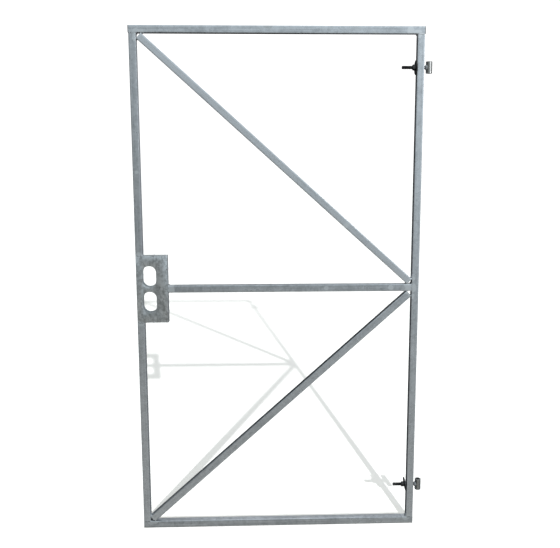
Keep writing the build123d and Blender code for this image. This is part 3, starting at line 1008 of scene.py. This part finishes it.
# --- Operators ------------------------------------------------------------------------
class GATE_OT_build_tubes(bpy.types.Operator):
    """Builds the rails, stiles and braces as hollow zinc-coated tubes"""

    bl_idname = "gate.build_tubes"
    bl_label = "Build tubes"

    def execute(self, context):
        settings = context.scene.gate_tubes
        for seed, node in enumerate(TUBES, start=11):
            surface, grain = tube_surface(*tube_run(node), settings, seed)
            mesh = write_mesh(f"{node}_tube", [surface])
            cover = touch_up(surface[0], settings.touch_up_reach)
            tone = np.full(len(cover), STOCK_TONES.get(node, 0.0))
            marks = mesh.attributes
            marks.new("grain", "FLOAT_VECTOR", "POINT").data.foreach_set("vector", grain.ravel())
            marks.new("touch_up", "FLOAT", "POINT").data.foreach_set("value", cover)
            marks.new("stock_tone", "FLOAT", "POINT").data.foreach_set("value", tone)
            piece = place_piece(context, f"{node}_tube", mesh, "frame", node, "galvanised_tube")
            if node == "hinge_stile":
                rods = [node_box(f"{hinge}_hinge_rod") for hinge in HINGES]
                bore_holes(piece, [float(low[2] + high[2]) / 2 for low, high in rods])
        return {"FINISHED"}


class GATE_OT_build_lock_case(bpy.types.Operator):
    """Builds the folded lock case and its closing strips"""

    bl_idname = "gate.build_lock_case"
    bl_label = "Build lock case"

    def execute(self, context):
        edge = context.scene.gate_case.sheet_edge
        for part in ("shell", "top_strip", "bottom_strip", "inner_strip"):
            node = f"lock_case_{part}"
            mesh = clean_copy(node, edge)
            place_piece(context, f"{node}_sheet", mesh, "frame", node, "galvanised_sheet")
        return {"FINISHED"}


class GATE_OT_build_caps(bpy.types.Operator):
    """Builds the plastic caps of the top rail and the end plates of the bottom rail"""

    bl_idname = "gate.build_caps"
    bl_label = "Build caps and end plates"

    def execute(self, context):
        settings = context.scene.gate_case
        rail_z = float(top_rail_low[2] + top_rail_high[2]) / 2
        for end, face, seat in (("latch", 0, top_rail_low[0]), ("hinge", 1, top_rail_high[0])):
            node = f"top_rail_{end}_cap"
            face_x = node_box(node)[face][0]
            surface = cap_surface(face_x, float(seat), rail_z, True, settings, TUBE_SIDE)
            mesh = write_mesh(f"{node}_moulded", [surface])
            place_piece(context, f"{node}_moulded", mesh, "frame", node, "cap_plastic")
        node = "bottom_rail_end_plates"
        low, high = node_box(node)
        side, rail_z = float(high[2] - low[2]), float(low[2] + high[2]) / 2
        plates = [
            cap_surface(face_x, face_x + depth, rail_z, False, settings, side)
            for face_x, depth in ((low[0], END_PLATE), (high[0], -END_PLATE))
        ]
        mesh = write_mesh("bottom_rail_plates", plates)
        where = ("bottom_rail_plates", mesh, "frame", node, "galvanised_tube")
        place_piece(context, *where, finish="galvanised_sheet")
        return {"FINISHED"}


class GATE_OT_build_welds(bpy.types.Operator):
    """Builds the weld beads at the corners, the rails, the lock case and the braces"""

    bl_idname = "gate.build_welds"
    bl_label = "Build welds"

    def execute(self, context):
        settings = context.scene.gate_welds
        rng = np.random.default_rng(5)
        quarter = math.pi / 2

        def corner_bead(x, z, quadrant, share=1.0):
            """Returns the bead in one free quadrant, counted from +X towards +Z."""
            corner = np.array([x, 0.0, z])
            low, radius = quadrant * quarter, share * settings.fillet_radius
            return wedge_bead(corner, low, low + quarter, radius, settings, rng)

        def seams(x, z, along):
            """Returns the low beads on the front and the back of a butt joint."""
            return [seam_bead((x, 0, z), along, side, settings, rng) for side in (-1, 1)]

        along_x, along_z = (1, 0, 0), (0, 0, 1)
        beads = {"top_corner_welds": [], "bottom_corner_welds": []}
        for x, centre_x, quadrants in (
            (LATCH_FACE_X, LATCH_STILE_X, (3, 0)),
            (HINGE_FACE_X, HINGE_STILE_X, (2, 1)),
        ):
            for node, z, quadrant in zip(beads, (TOP_OPENING_Z, BOTTOM_OPENING_Z), quadrants):
                beads[node] += [corner_bead(x, z, quadrant), *seams(centre_x, z, along_x)]
        rail_top, rail_bottom = float(middle_rail_high[2]), float(middle_rail_low[2])
        case_x, case_top = float(case_high[0]), float(case_high[2])
        case_bottom = float(case_low[2])
        beads["middle_rail_welds"] = [
            corner_bead(case_x, rail_top, 0),
            corner_bead(case_x, rail_bottom, 3),
            corner_bead(HINGE_FACE_X, rail_top, 1),
            corner_bead(HINGE_FACE_X, rail_bottom, 2),
            *seams(case_x, MIDDLE_RAIL_Z, along_z),
            *seams(HINGE_FACE_X, MIDDLE_RAIL_Z, along_z),
        ]
        case_beads = []
        for z, quadrant in ((case_top, 0), (case_bottom, 3)):
            case_beads += [corner_bead(LATCH_FACE_X, z, quadrant, CASE_BEAD_SHARE)]
            case_beads += seams(LATCH_STILE_X, z, along_x)
        tack = context.scene.gate_case.tack_radius
        for side in (-1, 1):
            for inset, below_top, above_bottom in CASE_TACKS:
                z = case_top - below_top if below_top else case_bottom + above_bottom
                place = (case_x - inset, side * TUBE_SIDE / 2, z)
                case_beads.append(tack_bead(place, tack, side, rng))
        beads["lock_case_welds"] = case_beads
        for brace in BRACES:
            found = []
            for corner, normal, edges in brace_touches(brace):
                leans = sorted((e - normal + math.pi) % (2 * math.pi) - math.pi for e in edges)
                for low, high in ((-quarter, leans[0]), (leans[1], quarter)):
                    if high - low > NARROW_GAP:
                        wedge = (corner, normal + low, normal + high)
                        found.append(wedge_bead(*wedge, settings.brace_radius, settings, rng))
            beads[f"{brace}_welds"] = found
        for node, surfaces in beads.items():
            name = node.replace("_welds", "_weld_beads")
            place_piece(context, name, write_mesh(name, surfaces), "frame", node, "weld_bead")
        return {"FINISHED"}


class GATE_OT_build_eye_bolts(bpy.types.Operator):
    """Builds the hinge eyes, their threaded rods and the welds between them"""

    bl_idname = "gate.build_eye_bolts"
    bl_label = "Build eye bolts"

    def execute(self, context):
        settings = context.scene.gate_hinges
        slots = {"eye": "eye_steel", "rod": "fastener_steel", "neck_weld": "weld_bead"}
        for hinge in HINGES:
            _, eye_high = node_box(f"{hinge}_hinge_eye")
            rod_low, rod_high = node_box(f"{hinge}_hinge_rod")
            rod_z, radius = float(rod_low[2] + rod_high[2]) / 2, float(rod_high[1])
            rod_end = rod_high[0] + ROD_IN_EYE
            surfaces = {
                "eye": eye_surface(f"{hinge}_hinge_eye", settings),
                "rod": rod_surface(rod_low[0], rod_end, rod_z, radius, settings),
                "neck_weld": neck_bead(rod_z, float(eye_high[0]), radius, settings.weld_leg),
            }
            for part, slot in slots.items():
                node = f"{hinge}_hinge_{part}"
                mesh = write_mesh(f"{node}_metal", [surfaces[part]])
                place_piece(context, f"{node}_metal", mesh, f"{hinge}_eye_bolt", node, slot)
        return {"FINISHED"}


class GATE_OT_build_nuts(bpy.types.Operator):
    """Builds the hexagon nuts of the eye bolts"""

    bl_idname = "gate.build_nuts"
    bl_label = "Build nuts"

    def execute(self, context):
        for hinge in HINGES:
            node = f"{hinge}_hinge_nut"
            surface = nut_surface(*node_box(node), context.scene.gate_hinges)
            mesh = write_mesh(f"{node}_metal", [surface])
            place_piece(context, f"{node}_metal", mesh, f"{hinge}_nut", node, "fastener_steel")
        return {"FINISHED"}


class GATE_OT_build_washers(bpy.types.Operator):
    """Builds the wide washers between the nuts and the hinge stile"""

    bl_idname = "gate.build_washers"
    bl_label = "Build washers"

    def execute(self, context):
        for hinge in HINGES:
            node = f"{hinge}_hinge_washer"
            mesh = write_mesh(f"{node}_metal", [washer_surface(node, context.scene.gate_hinges)])
            place_piece(context, f"{node}_metal", mesh, "frame", node, "fastener_steel")
        return {"FINISHED"}


class GATE_OT_set_stage(bpy.types.Operator):
    """Sets the camera, the pale floor and the soft light"""

    bl_idname = "gate.set_stage"
    bl_label = "Set stage"

    def execute(self, context):
        settings = context.scene.gate_stage
        self.add_camera(context, settings)
        floor = self.add_floor(context, settings)
        self.add_panel(context, "key", settings.key_power)
        self.add_panel(context, "fill", settings.fill_power)
        self.add_sun(context, settings, floor)
        self.add_sky(context, settings)
        return {"FINISHED"}

    def add_camera(self, context, settings):
        """Places the camera in front of the gate."""
        data = bpy.data.cameras.new("gate_camera")
        data.sensor_width = 36.0
        data.lens = settings.lens
        data.shift_x, data.shift_y = settings.shift
        data.clip_start, data.clip_end = 0.01, 200.0
        camera = bpy.data.objects.new("gate_camera", data)
        camera.location = settings.camera_place
        camera.rotation_euler = settings.camera_turn
        context.scene.collection.objects.link(camera)
        context.scene.camera = camera
        context.scene.view_settings.view_transform = "Standard"

    def add_floor(self, context, settings):
        """Lays a wide pale floor under the gate and returns it."""
        corners = np.array([(-1, -1), (1, -1), (1, 1), (-1, 1)]) * FLOOR_REACH
        mesh = bpy.data.meshes.new("floor")
        mesh.from_pydata([(x, y, FLOOR_Z - 0.0005) for x, y in corners], [], [(0, 1, 2, 3)])
        floor = bpy.data.objects.new("floor", mesh)
        context.scene.collection.objects.link(floor)
        paint = {"Base_Color": (0.80, 0.80, 0.80), "Roughness": 0.9, "Specular_IOR_Level": 0.0}
        paint.update(Emission_Color=(1.0, 0.82, 0.55), Emission_Strength=settings.floor_glow)
        mesh.materials.append(Finish("pale_floor").wire(**paint))
        floor.visible_diffuse = False
        floor.visible_glossy = False
        return floor

    def add_lamp(self, context, light, aim):
        """Puts a light into the scene, turned to shine along a direction."""
        lamp = bpy.data.objects.new(light.name, light)
        lamp.rotation_euler = aim.to_track_quat("-Z", "Y").to_euler()
        context.scene.collection.objects.link(lamp)
        return lamp

    def add_panel(self, context, name, power):
        """Adds a rectangular lamp that shines at the middle of the gate."""
        size, colour, place = PANELS[name]
        light = bpy.data.lights.new(name, "AREA")
        light.shape = "RECTANGLE"
        light.size, light.size_y = size
        light.energy, light.color = power, colour
        self.add_lamp(context, light, GATE_MIDDLE - Vector(place)).location = place

    def add_sun(self, context, settings, floor):
        """Adds a soft sun that lights only the floor, where it draws the gate's shadow."""
        light = bpy.data.lights.new("sun", "SUN")
        light.energy, light.angle = settings.sun_strength, SUN_SPREAD
        linking = self.add_lamp(context, light, SUN_AIM).light_linking
        linking.receiver_collection = bpy.data.collections.new("floor_only")
        linking.receiver_collection.objects.link(floor)

    def add_sky(self, context, settings):
        """Surrounds the gate with light from the upper right, dark on the lower left.

        Behind the gate the light comes from the right and from above only. The camera
        itself sees plain white.
        """
        world = bpy.data.worlds.new("studio")
        world.use_nodes = True
        sky = NodeBench(world.node_tree)
        way = sky.node("ShaderNodeTexCoord", {}).outputs["Generated"]
        x, y, z = sky.node("ShaderNodeSeparateXYZ", {"Vector": way}).outputs
        tilt = sky.plus(z, x, 0.6)
        front = sky.mix(sky.step(tilt, -0.35, 0.55), settings.sky_low, settings.sky_bright)
        front = sky.mix(sky.step(z, -0.15, -0.55), front, settings.sky_floor)
        shaded = sky.mix(sky.step(tilt, -0.45, 0.10), settings.sky_rear, front)
        front = sky.mix(sky.step(y, -0.45, -0.80), shaded, front)
        rise = sky.maths("MULTIPLY_ADD", sky.step(z, -0.30, 0.0), 0.62, 0.38)
        right = sky.times(sky.step(x, 0.0, 0.2), rise)
        above = sky.times(sky.step(z, 0.12, 0.42), sky.step(x, -0.26, -0.12))
        strong = [1.3 * c for c in settings.sky_glow]
        glow = sky.mix(sky.step(z, 0.30, 0.50), settings.sky_glow, strong)
        rear = sky.mix(sky.maths("MAXIMUM", right, above), settings.sky_rear, glow)
        rear = sky.mix(sky.step(x, -0.42, -0.70), rear, settings.sky_side)
        around = sky.mix(sky.step(y, 0.0, 0.3), front, rear)
        around = sky.mix(sky.step(x, 0.45, 0.70), around, settings.sky_side)
        seen = sky.node("ShaderNodeLightPath", {}).outputs["Is Camera Ray"]
        colour = sky.mix(seen, around, (1.0, 1.0, 1.0))
        shade = sky.node("ShaderNodeBackground", {"Color": colour, "Strength": SKY_STRENGTH})
        sky.node("ShaderNodeOutputWorld", {"Surface": shade.outputs["Background"]})
        context.scene.world = world


OPERATORS = [
    GATE_OT_set_stage,
    GATE_OT_build_tubes,
    GATE_OT_build_lock_case,
    GATE_OT_build_caps,
    GATE_OT_build_welds,
    GATE_OT_build_eye_bolts,
    GATE_OT_build_nuts,
    GATE_OT_build_washers,
]


class GATE_PT_panel(bpy.types.Panel):
    """Lists the gate's operators and sizes"""

    bl_label = "Garden gate"
    bl_idname = "GATE_PT_panel"
    bl_space_type = "VIEW_3D"
    bl_region_type = "UI"
    bl_category = "Gate"

    def draw(self, context):
        for operator in OPERATORS:
            self.layout.operator(operator.bl_idname)
        for name, group in SETTINGS.items():
            box = self.layout.box()
            box.label(text=group.__doc__)
            for key in group.__annotations__:
                box.prop(getattr(context.scene, name), key)


def register():
    """Registers the settings, operators and panel."""
    for group in SETTINGS.values():
        bpy.utils.register_class(group)
    for name, group in SETTINGS.items():
        setattr(bpy.types.Scene, name, bpy.props.PointerProperty(type=group))
    for item in OPERATORS + [GATE_PT_panel]:
        bpy.utils.register_class(item)


def unregister():
    """Removes everything that register added."""
    for item in reversed(OPERATORS + [GATE_PT_panel]):
        bpy.utils.unregister_class(item)
    for name, group in SETTINGS.items():
        delattr(bpy.types.Scene, name)
        bpy.utils.unregister_class(group)


def main():
    """Builds the whole gate."""
    register()
    bpy.ops.gate.set_stage()
    bpy.ops.gate.build_tubes()
    bpy.ops.gate.build_lock_case()
    bpy.ops.gate.build_caps()
    bpy.ops.gate.build_welds()
    bpy.ops.gate.build_eye_bolts()
    bpy.ops.gate.build_nuts()
    bpy.ops.gate.build_washers()


if __name__ == "__main__":
    main()
